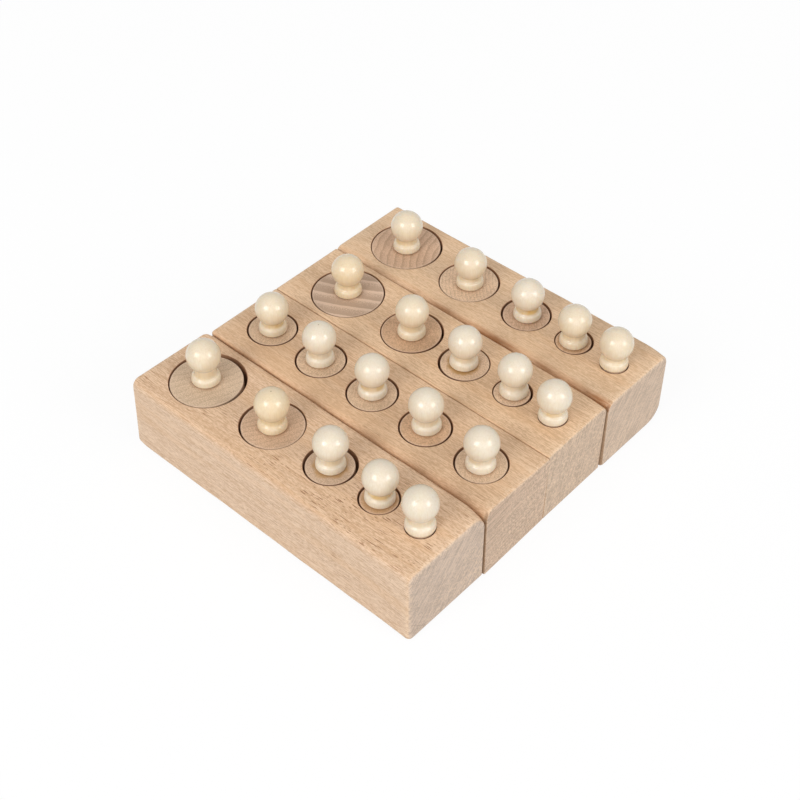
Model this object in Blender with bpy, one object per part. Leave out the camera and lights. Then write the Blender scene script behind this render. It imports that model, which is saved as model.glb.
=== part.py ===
"""A set of four knobbed cylinder blocks, built piece by piece.

Each block is a beech bar with five blind sockets. Each socket holds a loose cylinder,
and each cylinder carries a turned knob whose spigot is glued into it.

Metres, +Z up, origin on the table under the middle of the set. X runs along the blocks
from their first socket to their last, Y from the front block to the back one.
"""

import math
from dataclasses import dataclass

import bmesh
import bpy

# Cylinders, named a to e from the first socket to the last
GRADED_DIAMETERS = (0.030, 0.025, 0.020, 0.015, 0.011)
EQUAL_DIAMETER = 0.020
TALLEST = 0.025
SHORTEST = 0.009
CYLINDER_EASE = 0.0005

# Clearances and seats
SOCKET_CLEARANCE = 0.00035
SPIGOT_CLEARANCE = 0.0003
SEAT_GAP = 0.0003
BLOCK_GAP = 0.0003

# Blocks: their length, the wood beside the largest socket and under the tallest cylinder
BLOCK_LENGTH = 0.1444
THIN_WALL = 0.00265
MIDDLE_WALL = 0.00435
THICK_WALL = 0.0051
FLOOR_THICKNESS = 0.0097

# How far the cylinders' tops lie below the block's top
SINK = 0.0002

# Edges of a block
END_EASE = 0.0012
SHARP_EDGE = 0.0006
SOFT_EDGE = 0.0015
ROUND_EDGE = 0.0026
FULL_EDGE = 0.0040

# Knob: the collar is as wide as the neck, the cove round it and the rolled rim make it
BALL_DIAMETER = 0.0135
NECK_DIAMETER = 0.0085
NECK_LENGTH = 0.0026
COVE_RADIUS = 0.00095
RIM_RADIUS = 0.00045
COLLAR_HEIGHT = 0.00345
COLLAR_EASE = 0.0004
SPIGOT_DIAMETER = 0.0050
SPIGOT_LENGTH = 0.0060

# Fineness of the faceted curves
FACET_LENGTH = 0.0030
FEWEST_SIDES = 16
KNOB_SIDES = 14
BALL_STEPS = 5
CORNER_STEPS = 3
END_STEPS = 2
SMOOTH_ANGLE = math.radians(35)
MERGE_DISTANCE = 1e-7

# Finish
BLOCK_ROUGHNESS = 0.55
CYLINDER_ROUGHNESS = 0.60
KNOB_ROUGHNESS = 0.30
CYLINDER_COLOUR = (0.55, 0.40, 0.29)
KNOB_COLOUR = (0.84, 0.75, 0.58)

LETTERS = "abcde"


def graded(first, last):
    """Even steps from the first cylinder's value to the last one's."""
    steps = len(LETTERS) - 1
    return tuple(first + (last - first) * i / steps for i in range(steps + 1))


def same(value):
    """One value for all the cylinders of a block."""
    return tuple(value for _ in LETTERS)


@dataclass
class Block:
    """What sets one block of the set apart from the others."""
    name: str
    diameters: tuple
    heights: tuple
    side_wall: float
    trim: float           # how much longer than its neighbours the block is cut
    edges: tuple          # radii: front bottom, back bottom, back top, front top
    colour: tuple
    drill_shifts: tuple   # each socket's shift along X from evenly walled spacing
    row_shift: float      # the row of sockets' shift along Y from the block's middle
    stagger: float        # the block's shift along X from its neighbours
    slack: tuple          # how much each cylinder is turned under size, on the radius


BLOCKS = (
    Block("1", GRADED_DIAMETERS, same(TALLEST), THICK_WALL, 0.0014,
          (ROUND_EDGE, SHARP_EDGE, ROUND_EDGE, ROUND_EDGE), (0.68, 0.46, 0.30),
          (-0.0001, 0.0007, 0.0011, 0.0002, -0.0007), 0.0005, -0.0001,
          (0.0006, 0.0002, 0.0006, 0.0002, 0.0001)),
    Block("2", same(EQUAL_DIAMETER), graded(TALLEST, SHORTEST), THIN_WALL, -0.0002,
          (FULL_EDGE, SHARP_EDGE, SHARP_EDGE, FULL_EDGE), (0.68, 0.46, 0.28),
          (0.0003, 0.0001, 0.0002, 0.0001, -0.0001), -0.0005, 0.0009, same(0.00025)),
    Block("3", GRADED_DIAMETERS, graded(TALLEST, SHORTEST), THIN_WALL, -0.0008,
          (SHARP_EDGE, SHARP_EDGE, SOFT_EDGE, SHARP_EDGE), (0.69, 0.47, 0.29),
          (0.0027, 0.0036, 0.0013, 0.0011, 0.0004), -0.0004, 0.0007,
          (0.0001, 0.0002, 0.0002, 0.0002, 0.0001)),
    Block("4", GRADED_DIAMETERS, graded(SHORTEST, TALLEST), MIDDLE_WALL, 0.0,
          (FULL_EDGE, ROUND_EDGE, SOFT_EDGE, FULL_EDGE), (0.69, 0.47, 0.28),
          (0.0004, 0.0007, 0.0012, 0.0007, 0.0), 0.0008, 0.0007,
          (0.0002, 0.0002, 0.0003, 0.0002, 0.0001)),
)

# Cylinders that stand off the middle of their sockets, with their shifts along X and Y
CYLINDER_SHIFTS = {
    "1a": (-0.0001, -0.0006), "1b": (0.0003, 0.0), "1c": (0.0002, -0.0005), "1d": (0.0002, -0.0002),
    "2b": (0.0001, -0.0001), "2c": (0.0001, -0.0002), "2d": (0.0, -0.0001), "2e": (0.0002, -0.0002),
    "3b": (-0.0003, -0.0001), "3c": (0.0002, 0.0002), "3d": (-0.0002, -0.0002), "4a": (-0.0002, -0.0002),
    "4b": (-0.0001, -0.0002), "4c": (0.0002, -0.0002), "4d": (-0.0002, -0.0002),
}

# Knobs that were glued off the middle of their cylinders, with their shifts along X and Y
KNOB_SHIFTS = {
    "1a": (-0.0008, 0.0010), "1b": (0.0002, -0.0001), "1c": (-0.0001, 0.0006), "1d": (0.0003, 0.0005),
    "1e": (-0.0001, 0.0001), "2a": (0.0005, 0.0), "2b": (-0.0006, 0.0004), "2c": (-0.0005, 0.0008),
    "2d": (-0.0002, 0.0003), "2e": (0.0001, -0.0006), "3a": (-0.0009, 0.0012), "3b": (0.0003, 0.0001),
    "3c": (-0.0002, -0.0002), "3d": (0.0002, 0.0007), "3e": (0.0, -0.0002), "4a": (0.0002, 0.0002),
    "4b": (0.0011, -0.0008), "4c": (0.0004, -0.0005), "4d": (0.0002, -0.0002), "4e": (0.0001, -0.0001),
}

# Knobs that were turned with a longer neck, and by how much
LONGER_NECKS = {"1a": 0.0015, "1e": 0.0010}

NO_SHIFT = (0.0, 0.0)


def socket_radius(diameter):
    """Radius of the socket that takes a cylinder of this size."""
    return diameter / 2 + SOCKET_CLEARANCE


# Outside sizes that follow from the sockets and the wood around them
LARGEST_SOCKET = 2 * socket_radius(max(GRADED_DIAMETERS))
BLOCK_HEIGHT = FLOOR_THICKNESS + SEAT_GAP + TALLEST + SINK


def block_length(block):
    """Length of a block along X."""
    return BLOCK_LENGTH + block.trim


def block_width(block):
    """Width of a block along Y."""
    return LARGEST_SOCKET + 2 * block.side_wall


def clear_scene():
    """Remove whatever objects the file opened with."""
    for obj in list(bpy.data.objects):
        bpy.data.objects.remove(obj, do_unlink=True)


def wood_material(name, colour, roughness):
    """A plain wood finish: colour, roughness and no metal."""
    material = bpy.data.materials.new(name)
    material.use_nodes = True
    shader = material.node_tree.nodes["Principled BSDF"]
    shader.inputs["Base Color"].default_value = (*colour, 1.0)
    shader.inputs["Roughness"].default_value = roughness
    shader.inputs["Metallic"].default_value = 0.0
    return material


def object_from(bm, name):
    """Turn a bmesh into an object with its faces pointing out."""
    bmesh.ops.recalc_face_normals(bm, faces=bm.faces)
    mesh = bpy.data.meshes.new(name)
    bm.to_mesh(mesh)
    bm.free()
    obj = bpy.data.objects.new(name, mesh)
    bpy.context.scene.collection.objects.link(obj)
    return obj


def spin_profile(bm, profile, sides, centre=(0.0, 0.0)):
    """Turn a profile of radius and height, from axis to axis, about a vertical axis."""
    start = [bm.verts.new((centre[0] + r, centre[1], z)) for r, z in profile]
    edges = [bm.edges.new(pair) for pair in zip(start, start[1:])]
    bmesh.ops.spin(bm, geom=start + edges, cent=(*centre, 0.0), axis=(0.0, 0.0, 1.0),
                   angle=2 * math.pi, steps=sides, use_merge=True)
    bmesh.ops.remove_doubles(bm, verts=bm.verts, dist=MERGE_DISTANCE)


def cut(obj, cutter):
    """Subtract the cutter from an object and keep only the result."""
    modifier = obj.modifiers.new("cut", "BOOLEAN")
    modifier.operation = "DIFFERENCE"
    modifier.solver = "EXACT"
    modifier.object = cutter
    depsgraph = bpy.context.evaluated_depsgraph_get()
    result = bpy.data.meshes.new_from_object(obj.evaluated_get(depsgraph))
    obj.modifiers.remove(modifier)
    plain = obj.data
    result.name = obj.name
    obj.data = result
    bpy.data.meshes.remove(plain)
    bpy.data.objects.remove(cutter, do_unlink=True)


def finish(obj, colour, roughness):
    """Give a piece its material and smooth shading over its round faces."""
    obj.data.materials.clear()
    obj.data.materials.append(wood_material(obj.name + "_wood", colour, roughness))
    obj.data.shade_smooth()
    obj.data.set_sharp_from_angle(angle=SMOOTH_ANGLE)


def arc(centre_r, centre_z, radius, start, stop, steps):
    """Points of radius and height along an arc, angles in degrees from the outward side."""
    angles = [math.radians(start + (stop - start) * i / steps) for i in range(steps + 1)]
    return [(centre_r + radius * math.cos(a), centre_z + radius * math.sin(a)) for a in angles]


def sides_for(radius):
    """How many sides a socket and its cylinder are turned with."""
    return max(FEWEST_SIDES, 4 * round(2 * math.pi * radius / FACET_LENGTH / 4))


def disc_profile(radius, bottom, top, ease):
    """Profile of an upright cylinder with eased edges."""
    return [(0.0, bottom), (radius - ease, bottom), (radius, bottom + ease),
            (radius, top - ease), (radius - ease, top), (0.0, top)]


def plug_profile(radius, bottom, top):
    """Profile of a cutter for a flat-bottomed hole."""
    return [(0.0, bottom), (radius, bottom), (radius, top), (0.0, top)]


def section(block, inset):
    """Outline of a block across its length, as (y, z), drawn in by an inset."""
    half = block_width(block) / 2 - inset
    corners = ((-half, inset, 180), (half, inset, 270),
               (half, BLOCK_HEIGHT - inset, 0), (-half, BLOCK_HEIGHT - inset, 90))
    outline = []
    for (y, z, start), edge in zip(corners, block.edges):
        radius = max(edge - inset, SHARP_EDGE / 2)
        inward_y = -math.copysign(radius, y)
        inward_z = radius if start in (180, 270) else -radius
        outline += arc(y + inward_y, z + inward_z, radius, start, start + 90, CORNER_STEPS)
    return outline


def make_bar(block):
    """The block before its sockets are drilled: a loft with eased ends."""
    bm = bmesh.new()
    eased = [i * math.pi / 2 / END_STEPS for i in range(END_STEPS + 1)]
    insets = [END_EASE * (1 - math.sin(a)) for a in eased]
    reaches = [block_length(block) / 2 - END_EASE * (1 - math.cos(a)) for a in eased]
    stations = [(-x, d) for x, d in zip(reaches, insets)]
    stations += [(x, d) for x, d in zip(reversed(reaches), reversed(insets))]
    rings = [[bm.verts.new((x, y, z)) for y, z in section(block, inset)] for x, inset in stations]
    for ring, following in zip(rings, rings[1:]):
        for i in range(len(ring)):
            j = (i + 1) % len(ring)
            bm.faces.new((ring[i], ring[j], following[j], following[i]))
    bm.faces.new(rings[0])
    bm.faces.new(rings[-1])
    return object_from(bm, "block_" + block.name)


def socket_centres(block):
    """Places along X of the block's sockets, evenly walled apart from the drilling shifts."""
    widths = [2 * socket_radius(d) for d in block.diameters]
    wall = (block_length(block) - sum(widths)) / (len(widths) + 1)
    centres = []
    edge = -block_length(block) / 2
    for width, shift in zip(widths, block.drill_shifts):
        centres.append(edge + wall + width / 2 + shift)
        edge += wall + width
    return centres


def make_block(block, place_y):
    """A bar with one blind socket for each cylinder."""
    bar = make_bar(block)
    bm = bmesh.new()
    for x, diameter, height in zip(socket_centres(block), block.diameters, block.heights):
        radius = socket_radius(diameter)
        floor = BLOCK_HEIGHT - SINK - height - SEAT_GAP
        profile = plug_profile(radius, floor, BLOCK_HEIGHT + diameter)
        spin_profile(bm, profile, sides_for(radius), (x, block.row_shift))
    cut(bar, object_from(bm, "socket_cutter"))
    bar.location = (block.stagger, place_y, 0.0)
    finish(bar, block.colour, BLOCK_ROUGHNESS)
    return bar


def make_cylinder(block, index, x, parent):
    """A loose cylinder in its socket, with the blind hole for its knob's spigot."""
    name = block.name + LETTERS[index]
    diameter = block.diameters[index]
    height = block.heights[index]
    slack = block.slack[index]
    sides = sides_for(socket_radius(diameter))
    bm = bmesh.new()
    spin_profile(bm, disc_profile(diameter / 2 - slack, 0.0, height, CYLINDER_EASE), sides)
    cylinder = object_from(bm, "cylinder_" + name)
    bm = bmesh.new()
    hole_floor = height - SPIGOT_LENGTH
    hole = plug_profile(SPIGOT_DIAMETER / 2 + SPIGOT_CLEARANCE, hole_floor, height + SPIGOT_LENGTH)
    spin_profile(bm, hole, KNOB_SIDES, KNOB_SHIFTS.get(name, NO_SHIFT))
    cut(cylinder, object_from(bm, "spigot_cutter"))
    cylinder.parent = parent
    shift = CYLINDER_SHIFTS.get(name, NO_SHIFT)
    cylinder.location = (x + shift[0], block.row_shift + shift[1], BLOCK_HEIGHT - SINK - height)
    finish(cylinder, CYLINDER_COLOUR, CYLINDER_ROUGHNESS)
    return cylinder


def knob_profile(neck_length):
    """Half outline of a turned knob: spigot, collar with a rolled rim, cove, neck and ball."""
    spigot = SPIGOT_DIAMETER / 2
    neck = NECK_DIAMETER / 2
    ball = BALL_DIAMETER / 2
    rim = neck + COVE_RADIUS
    collar = rim + RIM_RADIUS
    ball_centre = COLLAR_HEIGHT + neck_length + math.sqrt(ball ** 2 - neck ** 2)
    lowest = -math.degrees(math.acos(neck / ball))
    profile = [(0.0, -SPIGOT_LENGTH), (spigot, -SPIGOT_LENGTH), (spigot, 0.0)]
    profile += [(collar - COLLAR_EASE, 0.0), (collar, COLLAR_EASE)]
    profile += arc(rim, COLLAR_HEIGHT - RIM_RADIUS, RIM_RADIUS, 0, 90, 2)
    profile += arc(rim, COLLAR_HEIGHT + COVE_RADIUS, COVE_RADIUS, 270, 180, 2)[1:]
    profile += arc(0.0, ball_centre, ball, lowest, 90, BALL_STEPS)[:-1]
    profile += [(0.0, ball_centre + ball)]
    return profile


def make_knob(name, height, parent):
    """A knob seated on its cylinder's top, with its spigot in the blind hole."""
    bm = bmesh.new()
    spin_profile(bm, knob_profile(NECK_LENGTH + LONGER_NECKS.get(name, 0.0)), KNOB_SIDES)
    knob = object_from(bm, "knob_" + name)
    knob.parent = parent
    knob.location = (*KNOB_SHIFTS.get(name, NO_SHIFT), height + SEAT_GAP)
    finish(knob, KNOB_COLOUR, KNOB_ROUGHNESS)


def build():
    """All four blocks side by side, each with its cylinders and knobs."""
    clear_scene()
    front = -(sum(block_width(block) for block in BLOCKS) + BLOCK_GAP * (len(BLOCKS) - 1)) / 2
    for block in BLOCKS:
        bar = make_block(block, front + block_width(block) / 2)
        front += block_width(block) + BLOCK_GAP
        for index, x in enumerate(socket_centres(block)):
            cylinder = make_cylinder(block, index, x, bar)
            make_knob(block.name + LETTERS[index], block.heights[index], cylinder)


build()
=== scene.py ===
"""Looks of a set of four knobbed cylinder blocks.

Each solid of the part gets a finely sawn or turned piece in its place: beech bars with
drilled sockets, end-grain cylinders and varnished ball knobs.

Metres, +Z up, X along the blocks, Y from the front block to the back one.
"""

import math
from dataclasses import dataclass

import bmesh
import bpy
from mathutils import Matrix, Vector


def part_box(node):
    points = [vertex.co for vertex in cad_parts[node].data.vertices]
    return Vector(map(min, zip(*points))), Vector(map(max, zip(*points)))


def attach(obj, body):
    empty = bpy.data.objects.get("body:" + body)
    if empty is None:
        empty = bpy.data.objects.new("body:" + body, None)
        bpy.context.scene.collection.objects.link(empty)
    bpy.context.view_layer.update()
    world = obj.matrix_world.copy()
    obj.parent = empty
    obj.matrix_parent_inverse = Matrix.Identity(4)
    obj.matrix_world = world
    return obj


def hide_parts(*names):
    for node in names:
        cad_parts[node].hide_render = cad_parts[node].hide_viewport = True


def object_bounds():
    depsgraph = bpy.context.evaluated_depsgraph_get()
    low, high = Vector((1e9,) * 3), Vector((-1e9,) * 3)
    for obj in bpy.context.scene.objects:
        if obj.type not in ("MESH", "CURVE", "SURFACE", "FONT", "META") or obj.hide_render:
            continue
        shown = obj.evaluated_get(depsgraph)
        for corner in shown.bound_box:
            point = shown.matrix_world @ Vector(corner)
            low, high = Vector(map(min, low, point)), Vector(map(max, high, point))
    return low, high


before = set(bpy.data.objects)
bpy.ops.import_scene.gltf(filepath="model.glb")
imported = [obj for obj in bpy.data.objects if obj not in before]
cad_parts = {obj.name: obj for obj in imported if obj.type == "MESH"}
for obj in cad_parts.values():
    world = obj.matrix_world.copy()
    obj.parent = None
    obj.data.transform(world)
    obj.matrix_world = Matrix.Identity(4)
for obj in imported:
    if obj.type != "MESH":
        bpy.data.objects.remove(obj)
CAD_LOW, CAD_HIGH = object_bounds()

# Fits shared with the part; the sockets of the smallest cylinders look closer
SMALLEST = 0.011
GRADED = (0.030, 0.025, 0.020, 0.015, SMALLEST)
EQUAL = (0.020, 0.020, 0.020, 0.020, 0.020)
SOCKET_CLEARANCE = 0.00035
CLOSE_CLEARANCE = 0.0002
SPIGOT_CLEARANCE = 0.0003
SEAT_GAP = 0.0003
SPIGOT_LENGTH = 0.0060
SPIGOT_RADIUS = 0.0025

# Cylinders that stand off the middle of their sockets, with their shifts along X and Y
CYLINDER_SHIFTS = {
    "1a": (-0.0001, -0.0006), "1b": (0.0003, 0.0), "1c": (0.0002, -0.0005), "1d": (0.0002, -0.0002),
    "2b": (0.0001, -0.0001), "2c": (0.0001, -0.0002), "2d": (0.0, -0.0001), "2e": (0.0002, -0.0002),
    "3b": (-0.0003, -0.0001), "3c": (0.0002, 0.0002), "3d": (-0.0002, -0.0002), "4a": (-0.0002, -0.0002),
    "4b": (-0.0001, -0.0002), "4c": (0.0002, -0.0002), "4d": (-0.0002, -0.0002),
}
NO_SHIFT = (0.0, 0.0)

# Eased edges
RIM_EASE = 0.0002
CYLINDER_EASE = 0.00032
SMALLEST_EDGE = 0.0003

# Fineness of the curves, and the angles in degrees above which an edge looks sharp
ROUND_SIDES = 96
KNOB_SIDES = 64
EDGE_STEPS = 8
END_STEPS = 6
EASE_STEPS = 4
FOOT_STEPS = 8
BALL_STEPS = 40
STATION_LENGTH = 0.003
SHARP_ANGLE = 40.0
KNOB_SHARP_ANGLE = 60.0

# How far from an end its worn corner and its lean reach
WORN_REACH = 0.009
LEAN_REACH = 0.012

# Share of its lean by which the first end is out of square towards the back
FIRST_SKEW = 0.45

# How round an upright edge next to a neighbour is, against an open one
CRISP = 0.25

# How far chipped fibres reach along the block and in from its sides, in easings of the end
CHIP_ALONG = 1.6
CHIP_INWARD = 1.2

LETTERS = "abcde"


@dataclass
class BlockLook:
    """How one block is cut and what its wood looks like."""
    name: str
    slot: str
    sizes: tuple         # what the sockets are drilled for
    first_edges: tuple   # radii at the first end: front bottom, back bottom, back top, front top
    last_edges: tuple    # the same radii at the last end
    worn: float          # how much rounder the back top corner is worn at the last end
    ends: tuple          # easing of the first end and the last end
    lean: float          # how far the first end leans
    corner: float        # plan radius of the first end's upright corners, at the top
    last_shift: tuple    # how far the last end's corners stand out, in the order of the edges
    last_foot: float     # rounding under the last end
    gaps: tuple          # how far the front and back stand back from the neighbours
    burnish: float       # how darkly the front top edge is burnished, with painted shade where it turns down into the seam
    pale: tuple
    deep: tuple
    front_tint: tuple    # how the front face differs from the top
    end_tone: tuple
    pith: tuple          # where the tree's heart lay, as (y, z) from the block's middle
    ring_spacing: float
    ring_depth: float
    fleck: float         # how strongly the rays show on the long faces
    ray_angle: float     # degrees from +Y at which the rays run over the ends
    seed: float


NO_TINT = (1.0, 1.0, 1.0)

BLOCKS = (
    BlockLook(
        "1", "flecked_beech", GRADED,
        first_edges=(0.0020, 0.0008, 0.0026, 0.0026), last_edges=(0.0026, 0.0010, 0.0030, 0.0026),
        worn=0.0035, ends=(0.0012, 0.0019), lean=0.0012, corner=0.0032,
        last_shift=(0.0002, 0.0002, 0.0, 0.0), last_foot=0.0, gaps=(0.0, 0.0001), burnish=0.12,
        pale=(0.790, 0.560, 0.378), deep=(0.580, 0.372, 0.222), front_tint=(0.98, 1.03, 1.10),
        end_tone=(0.540, 0.415, 0.325), pith=(0.030, -0.110), ring_spacing=0.0034, ring_depth=0.16,
        fleck=1.00, ray_angle=48.0, seed=3.0),
    BlockLook(
        "2", "golden_beech", EQUAL,
        first_edges=(0.0020, 0.0006, 0.0006, 0.0014), last_edges=(0.0014, 0.0006, 0.0006, 0.0042),
        worn=0.0, ends=(0.0012, 0.0012), lean=0.0, corner=0.0,
        last_shift=(0.0004, -0.0004, 0.0004, 0.0), last_foot=0.0010, gaps=(0.0001, 0.0), burnish=0.25,
        pale=(0.758, 0.527, 0.340), deep=(0.573, 0.366, 0.215), front_tint=NO_TINT,
        end_tone=(0.526, 0.374, 0.267), pith=(-0.020, 0.150), ring_spacing=0.0030, ring_depth=0.14,
        fleck=0.35, ray_angle=10.0, seed=11.0),
    BlockLook(
        "3", "golden_beech", GRADED,
        first_edges=(0.0006, 0.0006, 0.0010, 0.0006), last_edges=(0.0006, 0.0006, 0.0016, 0.0006),
        worn=0.0012, ends=(0.0012, 0.0012), lean=0.0, corner=0.0,
        last_shift=(0.0001, -0.0002, 0.0, 0.0003), last_foot=0.0010, gaps=(0.0, 0.00005), burnish=0.0,
        pale=(0.810, 0.568, 0.366), deep=(0.610, 0.398, 0.234), front_tint=NO_TINT,
        end_tone=(0.545, 0.401, 0.290), pith=(0.050, 0.130), ring_spacing=0.0028, ring_depth=0.14,
        fleck=0.50, ray_angle=78.0, seed=23.0),
    BlockLook(
        "4", "golden_beech", GRADED,
        first_edges=(0.0020, 0.0026, 0.0015, 0.0036), last_edges=(0.0018, 0.0078, 0.0015, 0.0046),
        worn=0.0028, ends=(0.0012, 0.0012), lean=0.0, corner=0.0,
        last_shift=(0.0006, 0.0005, 0.0003, 0.0), last_foot=0.0030, gaps=(0.00005, 0.0), burnish=1.0,
        pale=(0.790, 0.563, 0.372), deep=(0.605, 0.405, 0.242), front_tint=NO_TINT,
        end_tone=(0.572, 0.432, 0.322), pith=(-0.060, 0.120), ring_spacing=0.0032, ring_depth=0.14,
        fleck=0.32, ray_angle=58.0, seed=37.0),
)

# Tones of end grain
BEIGE = (0.605, 0.451, 0.313)
TAN = (0.635, 0.452, 0.300)
TAUPE = (0.585, 0.420, 0.292)
ROSE = (0.595, 0.402, 0.265)
GOLDEN = (0.612, 0.395, 0.240)
RUSSET = (0.565, 0.360, 0.217)
DUSKY = (0.572, 0.382, 0.255)
ASH = (0.582, 0.420, 0.305)
LIGHT = (0.690, 0.490, 0.330)

# Colours that come into the wood besides its tones
WARM_STRETCH = (0.720, 0.445, 0.240)
# Burn marks on the front top edge, and painted shade where it turns down into the seam
BURNISH_SHADE_COLOUR = (0.56, 0.38, 0.25)
FLECK_BROWN = (0.250, 0.095, 0.032)
CHIPPED = (0.840, 0.640, 0.450)
# Painted shade of the seams between blocks
SEAM_SHADE = (0.160, 0.078, 0.040)
# Painted shade on the walls of the sockets
BORE_SHADE = (0.360, 0.165, 0.080)
# Painted highlight on the eased rims of the cylinders
RIM_HIGHLIGHT = (0.760, 0.580, 0.420)
# Painted shade round a knob's foot
FOOT_SHADE = (0.400, 0.220, 0.110)
RUN_VARNISH = (0.480, 0.280, 0.110)
# Painted shade on a cylinder's side in the socket's gap
GAP_SHADE = (0.165, 0.070, 0.034)
# Golden varnish with painted shade in the coves under the balls
COVE_GOLD_AND_SHADE = (0.630, 0.425, 0.155)
FOOT_GOLD = (0.620, 0.430, 0.210)
DOT_BROWN = (0.200, 0.120, 0.060)

# Growth rings of a disc as (place across the ring, darkness): fine rings, and wide bands
FINE_RING = ((0.0, 0.15), (0.50, 0.42), (0.90, 1.0), (1.0, 0.15))
WIDE_BAND = ((0.0, 0.0), (0.14, 0.10), (0.30, 0.55), (0.86, 1.0), (0.95, 0.95), (1.0, 0.0))
FINE_WANDER = 0.8
BAND_WANDER = 0.25

# Steps in the grain from block to block and from cylinder to cylinder, in metres
DISC_STEPS = (0.31, 0.17)


@dataclass
class DiscLook:
    """End grain of one cylinder."""
    tone: tuple
    pith_angle: float     # degrees from +X towards the tree's heart
    pith_distance: float
    ring_spacing: float
    ring_depth: float
    ray_depth: float
    glue: float = 0.0     # how much varnish ran out round the knob's foot
    banded: bool = False  # rings as wide bands, each darker towards its outer side
    scorch: float = 0.88  # how dark the painted shade just under the rim is, where the side stands in the socket's gap


DISCS = {
    "1a": DiscLook(BEIGE, 160.0, 0.120, 0.0030, 0.45, 0.25, scorch=0.40),
    "1b": DiscLook(ROSE, 155.0, 0.080, 0.0024, 0.55, 0.35, scorch=0.40),
    "1c": DiscLook(TAUPE, 60.0, 0.050, 0.0024, 0.30, 0.40, 0.75),
    "1d": DiscLook(RUSSET, 20.0, 0.060, 0.0024, 0.25, 0.40, 0.45),
    "1e": DiscLook(TAUPE, 80.0, 0.060, 0.0024, 0.25, 0.40),
    "2a": DiscLook(TAN, 110.0, 0.060, 0.0020, 0.25, 0.60),
    "2b": DiscLook(TAN, 100.0, 0.080, 0.0024, 0.25, 0.50),
    "2c": DiscLook(TAN, 132.0, 0.060, 0.0022, 0.25, 0.60),
    "2d": DiscLook(GOLDEN, 130.0, 0.050, 0.0026, 0.25, 0.55),
    "2e": DiscLook(TAN, 135.0, 0.060, 0.0022, 0.25, 0.60, scorch=0.60),
    "3a": DiscLook(ASH, 118.0, 0.180, 0.0059, 2.00, 0.45, banded=True, scorch=0.60),
    "3b": DiscLook(RUSSET, 60.0, 0.080, 0.0026, 0.25, 0.35),
    "3c": DiscLook(LIGHT, 30.0, 0.050, 0.0024, 0.25, 0.40, 1.0),
    "3d": DiscLook(LIGHT, 70.0, 0.060, 0.0024, 0.25, 0.40),
    "3e": DiscLook(TAUPE, 0.0, 0.060, 0.0024, 0.25, 0.40),
    "4a": DiscLook(DUSKY, 24.0, 0.042, 0.0031, 1.20, 0.35, scorch=0.35),
    "4b": DiscLook(LIGHT, 42.0, 0.060, 0.0015, 0.85, 0.30, scorch=0.35),
    "4c": DiscLook(DUSKY, 130.0, 0.070, 0.0020, 0.45, 0.85),
    "4d": DiscLook(GOLDEN, 130.0, 0.060, 0.0024, 0.25, 0.40, 0.15),
    "4e": DiscLook(TAUPE, 45.0, 0.060, 0.0024, 0.25, 0.40),
}

# Varnished knobs: pale and deep of the wood under the varnish
IVORY = ((0.760, 0.678, 0.548), (0.690, 0.585, 0.436))
CREAM = ((0.760, 0.658, 0.498), (0.690, 0.560, 0.388))
HONEY = ((0.760, 0.628, 0.432), (0.690, 0.535, 0.334))
KNOB_TONES = {
    "1a": CREAM, "1b": HONEY, "2a": CREAM, "3a": HONEY, "3b": CREAM,
    "4a": CREAM, "4b": CREAM, "4d": CREAM, "4e": CREAM,
}

# How much golden varnish and painted shade the coves of some knobs get, and of the others
GOLD_AND_SHADE = {"4c": 1.0, "3e": 0.5, "2a": 0.7, "2c": 0.7, "1d": 0.9, "1b": 0.5, "4a": 0.6}
USUAL_GOLD_AND_SHADE = 0.3

# Knobs whose turning centre still shows as a dot on the ball, and how dark it is
DOTTED = ("1b", "2b")
DOT_STRENGTH = 0.9

# Outline of a knob's side as (radius, height): the collar, then the cove up to the waist
WAIST = 0.00425
COLLAR_FOOT = (0.00508, 0.00072)
COLLAR_FOOT_RADIUS = 0.00072
COLLAR_SIDE = [
    (0.00579, 0.00115), (0.00573, 0.00165), (0.00562, 0.00215), (0.00546, 0.00258),
    (0.00526, 0.00292), (0.00508, 0.00312), (0.00490, 0.00325),
]
COVE = [(0.00471, 0.00340), (0.00453, 0.00363), (0.00438, 0.00402), (0.00429, 0.00445), (WAIST, 0.00490)]

# A knob's ball: its radius, the radius at which it meets the neck, and its room at the top
BALL_RADIUS = 0.00675
BALL_NECK = 0.00430
BALL_ROOM = 0.0002
BALL_HEIGHT = 0.0113
NECK_STEP = 0.0004

# How far a knob is turned about itself, in radians, from block to block and along a block
ROW_TURN = 0.9
COLUMN_TURN = 2.1


@dataclass
class Setting:
    """How a knob is set on its cylinder, in millimetres, as seen by the camera."""
    right: float = 0.0    # off to the right
    back: float = 0.0     # off to the back
    lean: float = 0.0     # how far the ball leans to the right
    shorter: float = 0.0  # how much shorter the neck is


SETTINGS = {
    "1a": Setting(-0.2, -0.4),
    "1b": Setting(-0.2, 0.0, 0.3),
    "1c": Setting(-0.1, -0.1, 0.3, -0.3),
    "1d": Setting(-0.3, 0.2, 0.3, 0.3),
    "1e": Setting(0.0, 0.1, 0.0, 0.3),
    "2a": Setting(-0.1, 0.3, 0.1, 0.4),
    "2b": Setting(-0.1, -0.3, 0.0, -0.3),
    "2d": Setting(0.4, 0.1, -0.3, -0.1),
    "3a": Setting(-0.1, -0.2, 0.1, 0.1),
    "3b": Setting(-0.2, -0.5, 0.2, -0.2),
    "3c": Setting(-0.1, 0.2, 0.2, 0.2),
    "3d": Setting(0.1, 0.3),
    "3e": Setting(0.1, 0.2, -0.1, 0.5),
    "4a": Setting(0.0, -0.4),
    "4b": Setting(0.1, 0.6, 0.0, 0.7),
    "4c": Setting(0.4, 0.4, -0.4, 0.3),
    "4d": Setting(0.0, 0.2, -0.3, 0.2),
    "4e": Setting(-0.2, 0.4, 0.2, 0.7),
}
AS_PLANNED = Setting()
MILLIMETRES = 1000   # in a metre
RIGHT = Vector((0.741, 0.672, 0.0))
BACK = Vector((-0.672, 0.741, 0.0))

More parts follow.
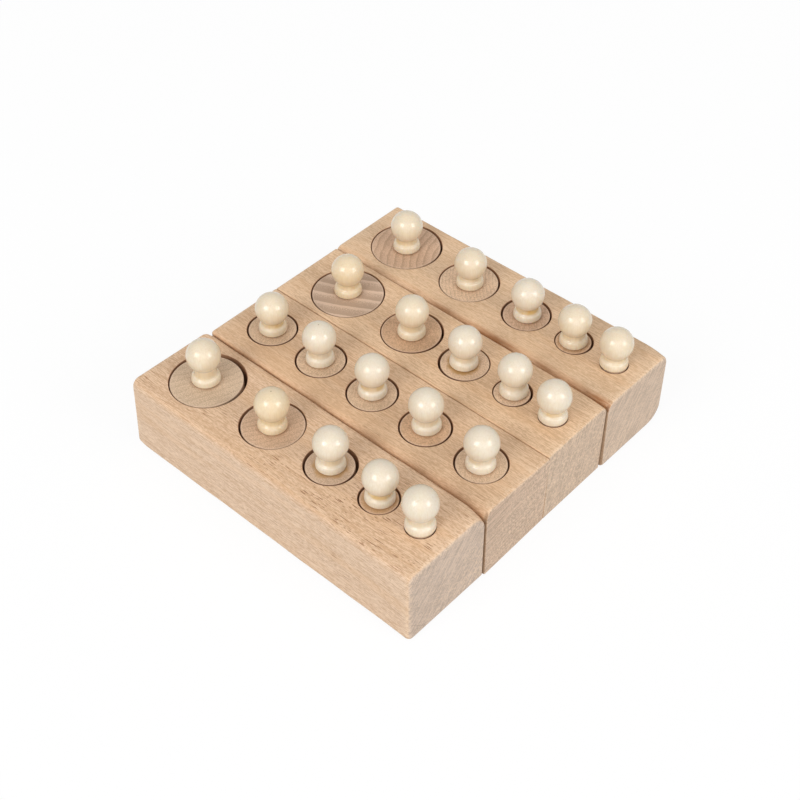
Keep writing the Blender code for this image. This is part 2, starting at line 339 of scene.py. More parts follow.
# Softboxes: direction from the set, distance, side and power in watts
LIGHTS = {
    "key": ((-0.03, -0.82, 0.57), 3.0, 1.40, 41.5),
    "fill": ((0.86, 0.10, 0.50), 3.0, 1.40, 33.0),
    "front": ((0.55, -0.60, 0.58), 2.5, 2.2, 14.0),
    "top": ((-0.05, 0.10, 1.0), 1.4, 1.5, 1.5),
}

# Surroundings: how brightly they light the set, and how bright they look
WORLD_LIT = 0.41
WORLD_SEEN = 1.0
FLOOR_LIT = (0.62, 0.62, 0.62)
FLOOR_SEEN = (0.96, 0.96, 0.96)
FLOOR_GLOW = 0.91
FLOOR_ROUGHNESS = 0.9
FLOOR_SIZE = 6.0

# The photograph's point of view: place, then field, dip below level and turn from +Y in degrees
CAMERA_PLACE = (0.272992, -0.301859, 0.420368)
CAMERA_FIELD = 31.2336
CAMERA_DIP = 44.7164
CAMERA_TURN = 42.1992


class Nodes:
    """A material's node tree, written as expressions."""

    def __init__(self, name):
        self.material = bpy.data.materials.new(name)
        self.material.use_nodes = True
        self.tree = self.material.node_tree
        self.shader = self.tree.nodes["Principled BSDF"]

    def add(self, kind, inputs, **settings):
        """A node of this kind, with settings on the node and values or links on its inputs."""
        made = self.tree.nodes.new("ShaderNode" + kind)
        for key, value in settings.items():
            setattr(made, key, value)
        for key, value in inputs.items():
            self.feed(made.inputs[key], value)
        return made

    def feed(self, socket, value):
        """Link a socket into an input, or set the input's own value."""
        if isinstance(value, bpy.types.NodeSocket):
            self.tree.links.new(value, socket)
        elif socket.type == "RGBA" and len(value) == 3:
            socket.default_value = (*value, 1.0)
        else:
            socket.default_value = value

    def place(self, shift=(0.0, 0.0, 0.0)):
        """Place on the piece, in metres."""
        return self.vector("ADD", self.add("TexCoord", {}).outputs["Object"], shift)

    def facing(self):
        """The piece's own normal."""
        return self.add("TexCoord", {}).outputs["Normal"]

    def attribute(self, name):
        """A number written on the piece's points."""
        return self.add("Attribute", {}, attribute_name=name).outputs["Fac"]

    def math(self, operation, a, b=0.0):
        """Arithmetic on one or two numbers."""
        return self.add("Math", {0: a, 1: b}, operation=operation).outputs[0]

    def vector(self, operation, a, b=(0.0, 0.0, 0.0)):
        """Arithmetic on one or two vectors, or a vector's length."""
        made = self.add("VectorMath", {0: a, 1: b}, operation=operation)
        return made.outputs["Value"] if operation == "LENGTH" else made.outputs["Vector"]

    def split(self, vector):
        """The three numbers of a vector."""
        return self.add("SeparateXYZ", {0: vector}).outputs[:3]

    def join(self, x, y, z):
        """A vector of three numbers."""
        return self.add("CombineXYZ", {0: x, 1: y, 2: z}).outputs[0]

    def turned(self, vector, axis, degrees):
        """A vector turned about an axis."""
        inputs = {"Vector": vector, "Angle": math.radians(degrees)}
        return self.add("VectorRotate", inputs, rotation_type=axis).outputs[0]

    def noise(self, vector, scales, detail=2.0, roughness=0.5):
        """Smooth noise with its own fineness along each axis, per metre."""
        spread = self.vector("MULTIPLY", vector, scales)
        inputs = {"Vector": spread, "Scale": 1.0, "Detail": detail, "Roughness": roughness}
        return self.add("TexNoise", inputs).outputs[0]

    def dashes(self, vector, scales, size, share):
        """Scattered spots, drawn out along the axis with the lowest scale; a share of them is strong."""
        spread = self.vector("MULTIPLY", vector, scales)
        made = self.add("TexVoronoi", {"Vector": spread, "Scale": 1.0})
        chance = self.split(made.outputs["Color"])[0]
        spot = self.remap(made.outputs["Distance"], 0.3 * size, size, 1.0, 0.0)
        return self.math("MULTIPLY", spot, self.remap(chance, 1.0 - share, 1.2 - share))

    def remap(self, value, low, high, to_low=0.0, to_high=1.0):
        """A smooth step from one level to another."""
        inputs = {"Value": value, "From Min": low, "From Max": high, "To Min": to_low, "To Max": to_high}
        return self.add("MapRange", inputs, interpolation_type="SMOOTHSTEP").outputs[0]

    def ramp(self, value, stops):
        """Piecewise smooth curve through (place, level) stops."""
        made = self.add("ValToRGB", {0: value})
        made.color_ramp.interpolation = "EASE"
        points = made.color_ramp.elements
        while len(points) < len(stops):
            points.new(0.5)
        for point, (place, level) in zip(points, stops):
            point.position = place
            point.color = (level, level, level, 1.0)
        return made.outputs[0]

    def mix(self, share, a, b, blend="MIX"):
        """The first colour with a share of the second."""
        made = self.add("Mix", {0: share, 6: a, 7: b}, data_type="RGBA", blend_type=blend)
        return made.outputs[2]

    def total(self, *terms):
        """A half plus the sum of (weight, value) terms, each value taken about a half."""
        result = None
        for weight, value in terms:
            part = self.math("MULTIPLY", self.math("SUBTRACT", value, 0.5), weight)
            result = self.math("ADD", part, 0.5 if result is None else result)
        return result

    def finish(self, colour, roughness, height, depth, **shader):
        """Wire the shader: colour, roughness, a fine relief of this depth, and its constants."""
        self.feed(self.shader.inputs["Base Color"], colour)
        self.feed(self.shader.inputs["Roughness"], roughness)
        bump = self.add("Bump", {"Height": height, "Strength": 1.0, "Distance": depth})
        self.feed(self.shader.inputs["Normal"], bump.outputs[0])
        for key, value in shader.items():
            self.feed(self.shader.inputs[key.replace("_", " ")], value)
        return self.material


def growth_rings(n, look, place):
    """Rings of a block about the heart of the tree."""
    from_heart = n.vector("ADD", place, (0.0, -look.pith[0], -look.pith[1]))
    from_heart = n.vector("MULTIPLY", from_heart, (0.0, 1.0, 1.0))
    radius = n.math("DIVIDE", n.vector("LENGTH", from_heart), look.ring_spacing)
    wander = n.noise(place, (10.0, 110.0, 110.0), 2.0)
    ring = n.math("FRACT", n.math("ADD", radius, n.math("MULTIPLY", wander, 1.6)))
    return n.ramp(ring, ((0.0, 0.35), (0.25, 0.25), (0.80, 0.70), (0.93, 1.0), (1.0, 0.35)))


def burnish_and_seam_shade(n, look, place):
    """How strongly the front top edge is darkened where it turns down into the seam, more towards the
    last end: burn marks with painted shade of the seam.
    """
    x = n.split(place)[0]
    _, turned_front, turned_up = n.split(n.facing())
    facing_front = n.remap(turned_front, -0.85, -0.05, 1.0, 0.0)
    burn_and_shade = n.math("MULTIPLY", facing_front, n.remap(turned_up, 0.10, 0.40))
    burn_and_shade = n.math("MULTIPLY", burn_and_shade, n.remap(x, look.seed - 0.05, look.seed + 0.06, 0.40, 1.30))
    patchy = n.noise(place, (30.0, 40.0, 40.0), 3.0)
    uneven = n.remap(patchy, 0.38, 0.64, 0.45 * look.burnish, 1.20 * look.burnish)
    streaky = n.remap(n.noise(place, (45.0, 700.0, 700.0), 2.0), 0.36, 0.64, 0.65, 1.25)
    return n.math("MULTIPLY", burn_and_shade, n.math("MULTIPLY", uneven, streaky))


def ray_flecks(n, look, place, grain, front):
    """Rays as dark dashes along the grain, long, middling and short, fewer on the front."""
    x, y, _ = n.split(place)
    flat = n.vector("MULTIPLY", grain, (1.0, 1.0, 0.0))
    dash_long = n.dashes(n.vector("ADD", flat, (0.2, 0.6, 0.0)), (75.0, 1900.0, 0.0), 0.30, 0.28)
    dash = n.dashes(flat, (160.0, 1700.0, 0.0), 0.34, 0.40)
    dash_fine = n.dashes(n.vector("ADD", flat, (0.7, 0.3, 0.0)), (420.0, 2300.0, 0.0), 0.38, 0.55)
    crowd = n.remap(n.noise(grain, (30.0, 150.0, 20.0), 2.0), 0.36, 0.62, 0.12, 1.0)
    crowded = n.math("ADD", dash, n.math("MULTIPLY", dash_fine, 0.6))
    fleck = n.math("ADD", n.math("MULTIPLY", crowded, crowd), n.math("MULTIPLY", dash_long, 0.7))
    fleck = n.math("MULTIPLY", fleck, n.remap(front, 0.0, 1.0, look.fleck, 0.4 * look.fleck))
    fleck = n.math("MULTIPLY", fleck, n.remap(y, -0.018, 0.008, 1.35, 0.55))
    return n.math("MULTIPLY", fleck, n.remap(x, look.seed - 0.04, look.seed + 0.06, 0.60, 1.45))


def sawn_end(n, look, place, ring, broad, pore):
    """End grain of a block: ray lines crossed by saw marks, faint rings and open pores."""
    ray = n.noise(n.turned(place, "X_AXIS", -look.ray_angle), (60.0, 130.0, 2000.0), 2.0, 0.6)
    crossed = n.turned(place, "X_AXIS", 90.0 - 1.3 * look.ray_angle)
    saw = n.noise(crossed, (60.0, 150.0, 1700.0), 2.0)
    shade = n.total((0.25, ring), (0.6, broad), (5.0, pore), (8.6, ray), (2.6, saw))
    pale = tuple(1.16 * level for level in look.end_tone)
    deep = tuple(0.84 * level for level in look.end_tone)
    return n.mix(shade, pale, deep)


def painted_seam_shade(n, look, x, last, colour):
    """Sides that stand loosely against a neighbour get painted shade of the seam at their last edge."""
    near_last = n.remap(x, look.seed + last - 0.0018, look.seed + last - 0.0005, 0.0, 0.55)
    for gap, side in zip(look.gaps, (-1.0, 1.0)):
        if gap:
            turned_side = n.remap(n.math("MULTIPLY", n.split(n.facing())[1], side), 0.55, 0.80)
            colour = n.mix(n.math("MULTIPLY", turned_side, near_last), colour, SEAM_SHADE)
    return colour


def beech(look, middle, last):
    """Long-grain beech: streaks, growth rings and rays, with end grain on the two ends."""
    n = Nodes("beech_" + look.name)
    place = n.place((look.seed, -middle[0], -middle[1]))
    x, y, z = n.split(place)
    turned_end, turned_front, _ = n.split(n.facing())
    sway = n.math("MULTIPLY", n.noise(place, (14.0, 40.0, 40.0), 1.0), 0.003)
    across = n.math("ADD", n.math("ADD", y, z), sway)
    grain = n.join(x, across, n.math("SUBTRACT", y, z))
    broad = n.noise(grain, (5.0, 85.0, 20.0), 3.0)
    streak = n.noise(grain, (12.0, 430.0, 30.0), 3.0, 0.6)
    line = n.noise(grain, (40.0, 1400.0, 40.0), 3.0, 0.6)
    fibre = n.noise(grain, (130.0, 2500.0, 60.0), 3.0, 0.65)
    speck = n.noise(grain, (480.0, 2500.0, 60.0), 3.0, 0.7)
    ring = growth_rings(n, look, place)
    shade = n.total((0.7, broad), (0.7, streak), (1.0, line), (3.6, fibre), (4.4, speck),
                    (look.ring_depth, ring))
    colour = n.mix(shade, look.pale, look.deep)
    # Warmer and pinker stretches of the plank
    warm = n.remap(n.noise(grain, (9.0, 160.0, 15.0), 2.0), 0.45, 0.70)
    colour = n.mix(n.math("MULTIPLY", warm, 0.30), colour, WARM_STRETCH)
    front = n.remap(turned_front, -0.9, -0.5, 1.0, 0.0)
    colour = n.mix(front, colour, n.mix(1.0, colour, look.front_tint, "MULTIPLY"))
    # Burn marks and painted shade on the front top edge, darkest where it turns down into the seam
    colour = n.mix(burnish_and_seam_shade(n, look, place), colour, n.mix(1.0, colour, BURNISH_SHADE_COLOUR, "MULTIPLY"))
    fleck = ray_flecks(n, look, place, grain, front)
    colour = n.mix(fleck, colour, FLECK_BROWN)
    pore = n.noise(place, (400.0, 2400.0, 2400.0), 2.0, 0.6)
    on_end = n.remap(n.math("ABSOLUTE", turned_end), 0.50, 0.92)
    colour = n.mix(on_end, colour, sawn_end(n, look, place, ring, broad, pore))
    # Chipped fibres along the edges of the ends
    chip = n.remap(n.noise(place, (900.0, 900.0, 900.0), 3.0, 0.7), 0.46, 0.62)
    chip = n.math("MULTIPLY", n.math("MULTIPLY", chip, n.attribute("edge")), 0.65)
    colour = n.mix(chip, colour, CHIPPED)
    # Painted shade in the seams next to the neighbouring blocks
    colour = painted_seam_shade(n, look, x, last, colour)
    # Walls of the drilled sockets darkened with painted shade
    colour = n.mix(n.math("MULTIPLY", n.attribute("bore"), 0.80), colour, BORE_SHADE)
    roughness = n.remap(shade, 0.0, 1.0, 0.50, 0.62)
    raised = n.math("MULTIPLY", n.mix(on_end, line, pore), 0.6)
    height = n.math("SUBTRACT", raised, n.math("MULTIPLY", fleck, 0.5))
    return n.finish(colour, roughness, height, 0.00010, IOR=1.45)


def knob_foot(n, look, place, seeded, knob, colour):
    """Varnish run out on a disc round the knob's foot, and painted shade close round the foot."""
    foot = n.vector("ADD", place, (-knob[0], -knob[1], 0.0))
    foot = n.vector("LENGTH", n.vector("MULTIPLY", foot, (1.0, 1.0, 0.0)))
    patchy = n.noise(seeded, (240.0, 240.0, 0.0), 2.0)
    uneven = n.math("MULTIPLY", n.math("SUBTRACT", patchy, 0.5), 0.004)
    foot = n.math("ADD", foot, uneven)
    # Painted shade close round the knob's foot
    colour = n.mix(n.remap(foot, 0.0055, 0.0066, 0.28, 0.0), colour, FOOT_SHADE)
    return n.mix(n.remap(foot, 0.0058, 0.0076, look.glue, 0.0), colour, RUN_VARNISH)


def end_grain(name, look, radius, height, knob):
    """A turned disc of beech with its fibres upright: rings, rays and pores on the top."""
    n = Nodes("end_grain_" + name)
    place = n.place()
    seeded = n.place((DISC_STEPS[0] * int(name[0]), DISC_STEPS[1] * LETTERS.index(name[1]), 0.0))
    angle = math.radians(look.pith_angle)
    heart = (-look.pith_distance * math.cos(angle), -look.pith_distance * math.sin(angle), 0.0)
    x, y, z = n.split(n.vector("ADD", place, heart))
    reach = n.vector("LENGTH", n.join(x, y, 0.0))
    turn_away = n.math("ARCTAN2", y, x)
    wander = n.noise(seeded, (160.0, 160.0, 20.0), 3.0)
    wander = n.math("MULTIPLY", wander, BAND_WANDER if look.banded else FINE_WANDER)
    ring = n.math("FRACT", n.math("ADD", n.math("DIVIDE", reach, look.ring_spacing), wander))
    ring = n.ramp(ring, WIDE_BAND if look.banded else FINE_RING)
    spoke = n.join(n.math("MULTIPLY", turn_away, look.pith_distance), reach, z)
    ray = n.remap(n.noise(spoke, (1900.0, 420.0, 40.0), 3.0, 0.6), 0.30, 0.70)
    pore = n.noise(seeded, (2100.0, 2100.0, 120.0), 3.0, 0.7)
    cloud = n.noise(seeded, (130.0, 130.0, 30.0), 2.0)
    shade = n.total((look.ring_depth, ring), (look.ray_depth, ray), (5.0, pore), (0.7, cloud))
    pale = tuple(1.17 * level for level in look.tone)
    deep = (0.80 * look.tone[0], 0.77 * look.tone[1], 0.74 * look.tone[2])
    colour = n.mix(shade, pale, deep)
    # Painted highlight: the eased rim drawn lighter, as if it caught the light
    out = n.vector("LENGTH", n.vector("MULTIPLY", place, (1.0, 1.0, 0.0)))
    rim = n.remap(out, radius - 0.0009, radius - 0.0004, 0.0, 0.30)
    colour = n.mix(rim, colour, RIM_HIGHLIGHT)
    colour = knob_foot(n, look, place, seeded, knob, colour)
    # Painted shade on the side just under the rim, where it stands in the socket's gap
    depth = n.math("SUBTRACT", height, z)
    scorch = n.math("MULTIPLY", n.remap(depth, 0.0, 0.0001), n.remap(depth, 0.0008, 0.0015, 1.0, 0.0))
    colour = n.mix(n.math("MULTIPLY", scorch, look.scorch), colour, GAP_SHADE)
    roughness = n.remap(shade, 0.0, 1.0, 0.50, 0.64)
    return n.finish(colour, roughness, pore, 0.00006, IOR=1.45)


def varnished(name, tone):
    """Pale wood under a clear coat, with faint upright grain and a golden cove with painted shade under
    the ball.
    """
    n = Nodes("varnished_" + name)
    place = n.place()
    height = n.split(place)[2]
    grain = n.noise(place, (2000.0, 2000.0, 70.0), 3.0, 0.6)
    cloud = n.noise(place, (150.0, 150.0, 70.0), 2.0)
    # Marks of the lathe round the collar
    lathe = n.noise(place, (40.0, 40.0, 2600.0), 2.0, 0.6)
    on_collar = n.remap(height, 0.0030, 0.0036, 1.0, 0.0)
    lathe = n.math("ADD", n.math("MULTIPLY", n.math("SUBTRACT", lathe, 0.5), on_collar), 0.5)
    shade = n.total((1.9, grain), (0.9, cloud), (2.6, lathe))
    colour = n.mix(shade, tone[0], tone[1])
    # Varnish gathers in the cove under the ball, with painted shade there too, and at the foot
    cove = n.math("MULTIPLY", n.remap(height, 0.0030, 0.0042), n.remap(height, 0.0060, 0.0082, 1.0, 0.0))
    patch = n.remap(n.noise(place, (170.0, 170.0, 120.0), 2.0), 0.35, 0.65, 0.50, 1.0)
    cove = n.math("MULTIPLY", n.math("MULTIPLY", cove, patch), n.attribute("gold"))
    colour = n.mix(cove, colour, COVE_GOLD_AND_SHADE)
    foot = n.remap(height, 0.0, 0.0009, 0.40, 0.0)
    colour = n.mix(foot, colour, FOOT_GOLD)
    colour = n.mix(n.attribute("dot"), colour, DOT_BROWN)
    roughness = n.remap(shade, 0.0, 1.0, 0.50, 0.58)
    return n.finish(colour, roughness, grain, 0.00003, IOR=1.48, Coat_Weight=0.85, Coat_Roughness=0.13,
                    Subsurface_Weight=0.30, Subsurface_Radius=(1.0, 0.7, 0.4), Subsurface_Scale=0.0012)


def object_from(bm, name):
    """Turn a bmesh into an object with its faces pointing out."""
    bmesh.ops.recalc_face_normals(bm, faces=bm.faces)
    mesh = bpy.data.meshes.new(name)
    bm.to_mesh(mesh)
    bm.free()
    made = bpy.data.objects.new(name, mesh)
    bpy.context.scene.collection.objects.link(made)
    return made


def turn(bm, profile, sides, centre=(0.0, 0.0)):
    """Turn a profile of radius and height, from axis to axis, about an upright axis."""
    rings = []
    for radius, height in profile:
        count = sides if radius > 0 else 1
        angles = [2 * math.pi * i / count for i in range(count)]
        around = [(radius * math.cos(a), radius * math.sin(a)) for a in angles]
        rings.append([bm.verts.new((centre[0] + x, centre[1] + y, height)) for x, y in around])
    for low, high in zip(rings, rings[1:]):
        for i in range(sides):
            j = (i + 1) % sides
            corners = [low[i % len(low)], low[j % len(low)], high[j % len(high)], high[i % len(high)]]
            bm.faces.new(list(dict.fromkeys(corners)))


def arc(centre, radius, start, stop, steps):
    """Points along an arc, angles in degrees."""
    angles = [math.radians(start + (stop - start) * i / steps) for i in range(steps + 1)]
    return [(centre[0] + radius * math.cos(a), centre[1] + radius * math.sin(a)) for a in angles]


def cut(made, cutter):
    """Subtract the cutter from an object and keep only the result."""
    modifier = made.modifiers.new("cut", "BOOLEAN")
    modifier.operation = "DIFFERENCE"
    modifier.solver = "EXACT"
    modifier.object = cutter
    graph = bpy.context.evaluated_depsgraph_get()
    result = bpy.data.meshes.new_from_object(made.evaluated_get(graph))
    made.modifiers.remove(modifier)
    made.data = result
    bpy.data.objects.remove(cutter, do_unlink=True)


def smooth(made, degrees):
    """Smooth shading that keeps flat faces flat and sharp edges sharp."""
    made.data.shade_smooth()
    made.data.set_sharp_from_angle(angle=math.radians(degrees))
    weighted = made.modifiers.new("weighted", "WEIGHTED_NORMAL")
    weighted.keep_sharp = True


def dress(made, node, body, material):
    """Put a finished piece in place of its solid."""
    made.data.materials.clear()
    made.data.materials.append(material)
    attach(made, body)
    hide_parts(node)


def wobble(x, seed):
    """Uneven hand sanding along an edge, about one."""
    return 1.0 + 0.06 * math.sin(x * 95.0 + seed) + 0.05 * math.sin(x * 230.0 + 2.3 * seed)


def edge_radii(look, low, high, x):
    """The four edge radii of a block at a place along it."""
    share = (x - low.x) / (high.x - low.x)
    radii = []
    for index, (first, last) in enumerate(zip(look.first_edges, look.last_edges)):
        radii.append((first + (last - first) * share) * wobble(x, look.seed + 1.7 * index))
    near = max(0.0, 1.0 - (high.x - x) / WORN_REACH)
    radii[2] += look.worn * near ** 1.5
    return radii


def bar_section(low, high, radii, gaps, inset):
    """Outline of a block across its length, as (y, z), drawn in by an inset."""
    y0 = low.y + gaps[0] + inset * (1.0 if low.y == CAD_LOW.y else CRISP)
    y1 = high.y - gaps[1] - inset * (1.0 if high.y == CAD_HIGH.y else CRISP)
    z0, z1 = low.z + inset, high.z - inset
    outline = []
    corners = ((y0, z0, 1, 1, 180), (y1, z0, -1, 1, 270), (y1, z1, -1, -1, 0), (y0, z1, 1, -1, 90))
    for (y, z, side, rise, start), edge in zip(corners, radii):
        radius = max(edge - inset, SMALLEST_EDGE)
        outline += arc((y + side * radius, z + rise * radius), radius, start, start + 90, EDGE_STEPS)
    return outline


def bar_stations(low, high, ends):
    """Places along a block with how far its outline is drawn in there."""
    quarter = [i * math.pi / 2 / END_STEPS for i in range(END_STEPS + 1)]
    first = [(low.x + ends[0] * (1 - math.cos(a)), ends[0] * (1 - math.sin(a))) for a in quarter]
    last = [(high.x - ends[1] * (1 - math.cos(a)), ends[1] * (1 - math.sin(a))) for a in quarter]
    span = last[-1][0] - first[-1][0]
    count = round(span / STATION_LENGTH)
    middle = [(first[-1][0] + span * i / count, 0.0) for i in range(1, count)]
    return first + middle + last[::-1]


def mark_ends(made, low, high, look):
    """Write how near each point lies to an edge of the ends, for the chipped fibres there."""
    attribute = made.data.attributes.new("edge", "FLOAT", "POINT")
    for vertex, value in zip(made.data.vertices, attribute.data):
        x, y, z = vertex.co
        ease = look.ends[0] if x < 0 else look.ends[1]
        into = 1 - min(1.0, min(x - low.x, high.x - x) / (CHIP_ALONG * ease))
        border = 1 - min(1.0, min(y - low.y, high.y - y, z - low.z, high.z - z) / (CHIP_INWARD * ease))
        value.value = math.sqrt(max(0.0, into * border))


def mark_bores(made, sockets, top):
    """Write which points lie on the walls of the sockets."""
    attribute = made.data.attributes.new("bore", "FLOAT", "POINT")
    reaches = [(centre, radius + 0.5 * RIM_EASE) for centre, radius in sockets]
    for vertex, value in zip(made.data.vertices, attribute.data):
        x, y, z = vertex.co
        inside = any(math.hypot(x - centre[0], y - centre[1]) < reach for centre, reach in reaches)
        value.value = 1.0 if inside and z < top - 0.2 * RIM_EASE else 0.0


def rounding(radius, distance, inset):
    """How far a rounding of this radius draws the outline in, beyond the inset it has already."""
    into = max(0.0, radius - distance)
    return max(0.0, radius - math.sqrt(radius ** 2 - into ** 2) - inset) if into else 0.0


def worked_end(look, low, high, x, y, z, inset):
    """A point of a block's outline, moved the way its ends are cut and worn."""
    rise = (z - low.z) / (high.z - low.z)
    back = (y - low.y) / (high.y - low.y)
    near_first = max(0.0, 1.0 - (x - low.x) / LEAN_REACH)
    near_last = max(0.0, 1.0 - (high.x - x) / LEAN_REACH)
    pinch = rounding(look.corner, x - low.x, inset)
    foot = rounding(look.last_foot, high.x - x, inset)
    front_low, back_low, back_high, front_high = look.last_shift
    shift_low = front_low * (1 - back) + back_low * back
    shift_high = front_high * (1 - back) + back_high * back
    shift = shift_low * (1 - rise) + shift_high * rise
    side = 1 if back < 0.5 else -1
    return (x + look.lean * near_first * (rise - 1.0 + FIRST_SKEW * back) + shift * near_last,
            y + side * pinch * rise,
            z + (pinch + foot) * (1 - rise) ** 2)


def make_bar(look, low, high):
    """A block before its sockets are drilled: a loft through its outlines."""
    bm = bmesh.new()
    rings = []
    for x, inset in bar_stations(low, high, look.ends):
        section = bar_section(low, high, edge_radii(look, low, high, x), look.gaps, inset)
        rings.append([bm.verts.new(worked_end(look, low, high, x, y, z, inset)) for y, z in section])
    for ring, following in zip(rings, rings[1:]):
        for i in range(len(ring)):
            j = (i + 1) % len(ring)
            bm.faces.new((ring[i], ring[j], following[j], following[i]))
    bm.faces.new(rings[0])
    bm.faces.new(rings[-1])
    return object_from(bm, "block_" + look.name + "_beech")


def socket(name):
    """Centre of a socket and bottom of the cylinder that stands in it."""
    low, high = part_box("cylinder_" + name)
    shift = CYLINDER_SHIFTS.get(name, NO_SHIFT)
    return ((low.x + high.x) / 2 - shift[0], (low.y + high.y) / 2 - shift[1]), low.z


def socket_profile(radius, floor, top):
    """Half outline of the cutter for a blind socket with an eased rim."""
    profile = [(0.0, floor), (radius, floor), (radius, top - RIM_EASE)]
    profile += [(radius + 0.3 * RIM_EASE, top - 0.4 * RIM_EASE), (radius + RIM_EASE, top)]
    profile += [(radius + 2 * RIM_EASE, top + RIM_EASE), (0.0, top + radius)]
    return profile


def make_block(look):
    """A beech bar with its five drilled sockets."""
    node = "block_" + look.name
    low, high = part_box(node)
    bar = make_bar(look, low, high)
    mark_ends(bar, low, high, look)
    bm = bmesh.new()
    sockets = []
    for letter, size in zip(LETTERS, look.sizes):
        centre, bottom = socket(look.name + letter)
        radius = size / 2 + (CLOSE_CLEARANCE if size == SMALLEST else SOCKET_CLEARANCE)
        sockets.append((centre, radius))
        turn(bm, socket_profile(radius, bottom - SEAT_GAP, high.z), ROUND_SIDES, centre)
    cut(bar, object_from(bm, "sockets"))
    mark_bores(bar, sockets, high.z)
    smooth(bar, SHARP_ANGLE)
    middle = ((low.y + high.y) / 2, (low.z + high.z) / 2)
    dress(bar, node, node, beech(look, middle, high.x))


def knob_place(name):
    """Where a knob stands on its cylinder."""
    low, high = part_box("knob_" + name)
    setting = SETTINGS.get(name, AS_PLANNED)
    middle = (low + high) / 2 + (RIGHT * setting.right + BACK * setting.back) / MILLIMETRES
    return Vector((middle.x, middle.y, low.z + SPIGOT_LENGTH))


def make_cylinder(name):
    """A turned cylinder with eased edges and the blind hole for its knob."""
    node = "cylinder_" + name
    low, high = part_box(node)
    centre = (low + high) / 2
    radius = (high.x - low.x) / 2
    height = high.z - low.z
    eased = radius - CYLINDER_EASE
    bm = bmesh.new()
    profile = [(0.0, 0.0)] + arc((eased, CYLINDER_EASE), CYLINDER_EASE, -90, 0, EASE_STEPS)
    profile += arc((eased, height - CYLINDER_EASE), CYLINDER_EASE, 0, 90, EASE_STEPS) + [(0.0, height)]
    turn(bm, profile, ROUND_SIDES)
    made = object_from(bm, node + "_wood")
    off = knob_place(name) - centre
    hole = SPIGOT_RADIUS + SPIGOT_CLEARANCE
    floor = height - SPIGOT_LENGTH
    profile = [(0.0, floor), (hole, floor), (hole, height + hole), (0.0, height + hole)]
    bm = bmesh.new()
    turn(bm, profile, KNOB_SIDES, off[:2])
    cut(made, object_from(bm, "hole"))
    smooth(made, SHARP_ANGLE)
    made.location = (centre.x, centre.y, low.z)
    material = end_grain(name, DISCS[name], radius, height, off)
    dress(made, node, node, material)


def knob_profile(height):
    """Half outline of a turned knob of this height: spigot, collar with a rolled rim, cove and ball."""
    ball_centre = height - BALL_RADIUS - BALL_ROOM
    lowest = -math.degrees(math.acos(BALL_NECK / BALL_RADIUS))
    ball_start = ball_centre + BALL_RADIUS * math.sin(math.radians(lowest))
    profile = [(0.0, -SPIGOT_LENGTH), (SPIGOT_RADIUS, -SPIGOT_LENGTH), (SPIGOT_RADIUS, 0.0)]
    profile += arc(COLLAR_FOOT, COLLAR_FOOT_RADIUS, -90, 0, FOOT_STEPS)
    profile += COLLAR_SIDE + COVE + [(WAIST, ball_start - NECK_STEP)]
    profile += arc((0.0, ball_centre), BALL_RADIUS, lowest, 90, BALL_STEPS)[1:-1]
    profile += [(0.0, ball_centre + BALL_RADIUS)]
    return profile


def make_knob(name, turned, material):
    """A varnished knob, turned to its own height and set in its own way."""
    node = "knob_" + name
    low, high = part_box(node)
    setting = SETTINGS.get(name, AS_PLANNED)
    bm = bmesh.new()
    turn(bm, knob_profile(high.z - low.z - SPIGOT_LENGTH - setting.shorter / MILLIMETRES), KNOB_SIDES)
    made = object_from(bm, node + "_varnished")
    smooth(made, KNOB_SHARP_ANGLE)
    dot = made.data.attributes.new("dot", "FLOAT", "POINT")
    top = max(made.data.vertices, key=lambda vertex: vertex.co.z)
    dot.data[top.index].value = DOT_STRENGTH if name in DOTTED else 0.0
    # How much golden varnish and painted shade the knob's cove gets
    gold = made.data.attributes.new("gold", "FLOAT", "POINT")
    gold.data.foreach_set("value", [GOLD_AND_SHADE.get(name, USUAL_GOLD_AND_SHADE)] * len(made.data.vertices))
    made.location = knob_place(name)
    tilt = RIGHT * setting.lean / MILLIMETRES / BALL_HEIGHT
    made.rotation_mode = "ZXY"
    made.rotation_euler = (-tilt.y, tilt.x, turned)
    dress(made, node, "cylinder_" + name, material)


def make_knobs():
    """All the knobs, each at its own turn and with the varnish of its tone."""
    tones = (("ivory", IVORY), ("cream", CREAM), ("honey", HONEY))
    materials = {tone: varnished(label, tone) for label, tone in tones}
    for row, look in enumerate(BLOCKS):
        for index, letter in enumerate(LETTERS):
            name = look.name + letter
            material = materials[KNOB_TONES.get(name, IVORY)]
            make_knob(name, ROW_TURN * row + COLUMN_TURN * index, material)


def seen_rays(tree):
    """One for the rays that show the surroundings: to the eye, in gloss and through glass."""
    light = tree.nodes.new("ShaderNodeLightPath").outputs
    rays = light["Is Camera Ray"]
    for other in ("Is Glossy Ray", "Is Transmission Ray"):
        either = tree.nodes.new("ShaderNodeMath")
        either.operation = "MAXIMUM"
        tree.links.new(rays, either.inputs[0])
        tree.links.new(light[other], either.inputs[1])
        rays = either.outputs[0]
    return rays


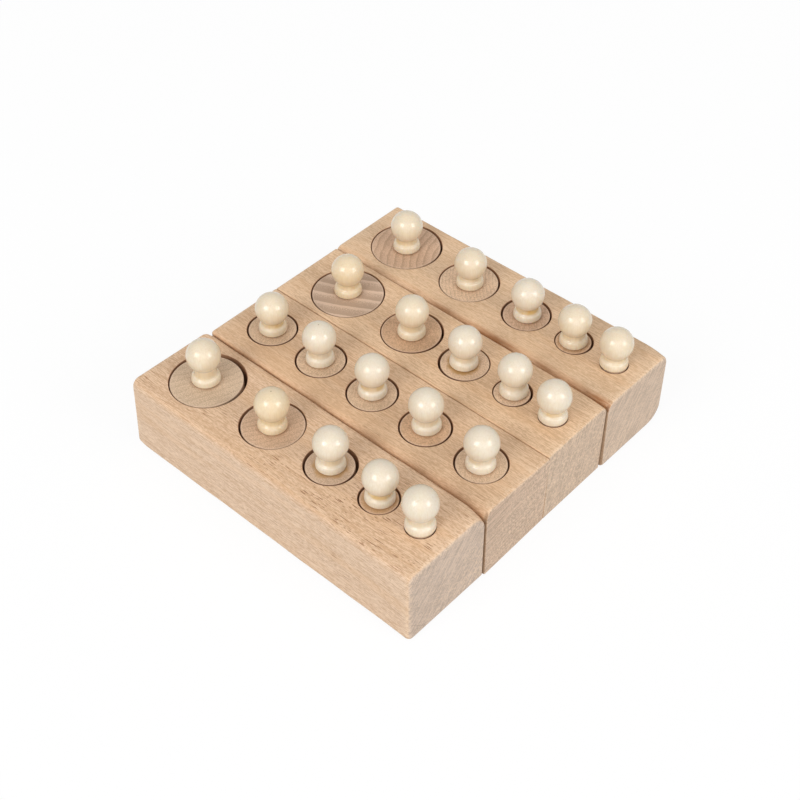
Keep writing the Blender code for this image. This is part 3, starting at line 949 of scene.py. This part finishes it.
def make_floor():
    """A white floor that shows white to the eye and keeps a soft shadow."""
    bm = bmesh.new()
    bmesh.ops.create_grid(bm, x_segments=1, y_segments=1, size=FLOOR_SIZE)
    floor = object_from(bm, "floor")
    n = Nodes("floor")
    seen = seen_rays(n.tree)
    n.feed(n.shader.inputs["Roughness"], FLOOR_ROUGHNESS)
    n.feed(n.shader.inputs["Base Color"], n.mix(seen, FLOOR_LIT, FLOOR_SEEN))
    white = n.add("Emission", {"Color": (1.0, 1.0, 1.0), "Strength": 1.0})
    glow = n.math("MULTIPLY", seen, FLOOR_GLOW)
    mixed = n.add("MixShader", {0: glow, 1: n.shader.outputs[0], 2: white.outputs[0]})
    n.tree.links.new(mixed.outputs[0], n.tree.nodes["Material Output"].inputs["Surface"])
    floor.data.materials.append(n.material)


def make_light(name, towards, distance, size, power):
    """A square softbox that shines on the middle of the set."""
    data = bpy.data.lights.new(name, "AREA")
    data.shape = "SQUARE"
    data.size = size
    data.energy = power
    lamp = bpy.data.objects.new(name, data)
    bpy.context.scene.collection.objects.link(lamp)
    direction = Vector(towards).normalized()
    lamp.location = direction * distance
    lamp.rotation_euler = direction.to_track_quat("Z", "Y").to_euler()


def make_world():
    """Even white surroundings, white where they are seen."""
    world = bpy.data.worlds.new("studio")
    bpy.context.scene.world = world
    world.use_nodes = True
    tree = world.node_tree
    ground = tree.nodes["Background"]
    ground.inputs["Color"].default_value = (1.0, 1.0, 1.0, 1.0)
    level = tree.nodes.new("ShaderNodeMapRange")
    level.inputs["To Min"].default_value = WORLD_LIT
    level.inputs["To Max"].default_value = WORLD_SEEN
    tree.links.new(seen_rays(tree), level.inputs["Value"])
    tree.links.new(level.outputs[0], ground.inputs["Strength"])


def make_camera():
    """The photograph's point of view."""
    data = bpy.data.cameras.new("camera")
    data.sensor_fit = "HORIZONTAL"
    data.angle = math.radians(CAMERA_FIELD)
    data.clip_start = 0.01
    data.clip_end = 50.0
    camera = bpy.data.objects.new("camera", data)
    bpy.context.scene.collection.objects.link(camera)
    camera.location = CAMERA_PLACE
    camera.rotation_euler = (math.radians(90.0 - CAMERA_DIP), 0.0, math.radians(CAMERA_TURN))
    bpy.context.scene.camera = camera


def build():
    """The dressed set, its floor, lights and camera."""
    for look in BLOCKS:
        make_block(look)
        for letter in LETTERS:
            make_cylinder(look.name + letter)
    make_knobs()
    make_floor()
    for name, settings in LIGHTS.items():
        make_light(name, *settings)
    make_world()
    make_camera()
    bpy.context.scene.view_settings.view_transform = "Standard"


build()
bpy.context.view_layer.update()
